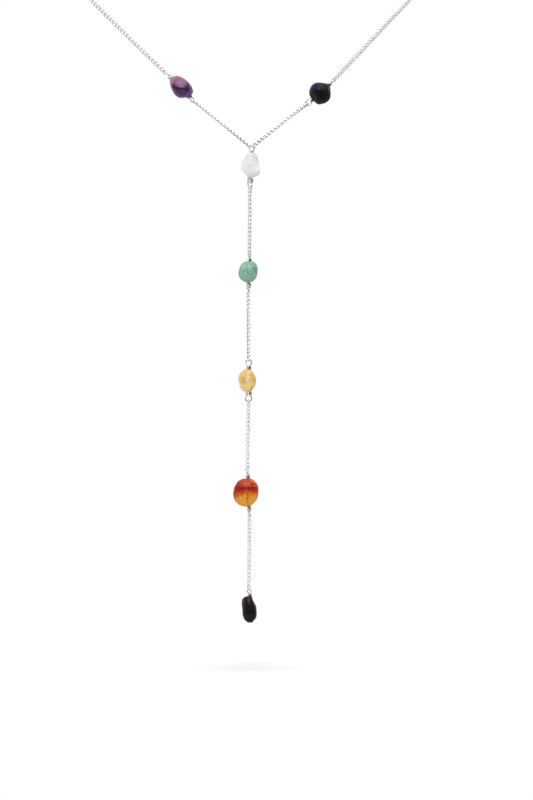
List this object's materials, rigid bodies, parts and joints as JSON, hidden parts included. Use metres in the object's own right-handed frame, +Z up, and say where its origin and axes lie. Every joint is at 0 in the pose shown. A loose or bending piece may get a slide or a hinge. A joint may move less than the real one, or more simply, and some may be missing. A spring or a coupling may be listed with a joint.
{
  "type": "necklace",
  "caption": "Y-shaped necklace of fine curb chain with small tumbled stones on looped wires at the sides, at the junction and down a long central drop",
  "frame": {"origin": "on the nape of the neck, at the middle of the clasp", "axes": "+Z up along the neck, -Y to the front of the necklace, +X to the viewer's right when the necklace is seen from the front"},
  "size_m": [0.1256, 0.1161, 0.2544],
  "materials": {
    "chain": "polished silver plate",
    "wire": "polished silver plate",
    "clasp": "polished silver plate",
    "amethyst": "tumbled and polished",
    "sodalite": "tumbled and polished",
    "quartz": "tumbled and polished",
    "aventurine": "tumbled and polished",
    "citrine": "tumbled and polished",
    "carnelian": "tumbled and polished",
    "onyx": "tumbled and polished"
  },
  "bodies": {
    "root": {"chain_neck_left": "chain", "chain_neck_right": "chain", "links_neck_left": "chain", "links_neck_right": "chain", "chain_v_left": "chain", "chain_v_right": "chain", "chain_drop_1": "chain", "chain_drop_2": "chain", "chain_drop_3": "chain", "chain_drop_4": "chain", "stone_amethyst": "amethyst", "stone_sodalite": "sodalite", "stone_quartz": "quartz", "stone_aventurine": "aventurine", "stone_citrine": "citrine", "stone_carnelian": "carnelian", "stone_onyx": "onyx", "wire_amethyst": "wire", "wire_sodalite": "wire", "wire_quartz": "wire", "wire_aventurine": "wire", "wire_citrine": "wire", "wire_carnelian": "wire", "wire_onyx": "wire", "clasp": "clasp"}
  },
  "joints": []
}
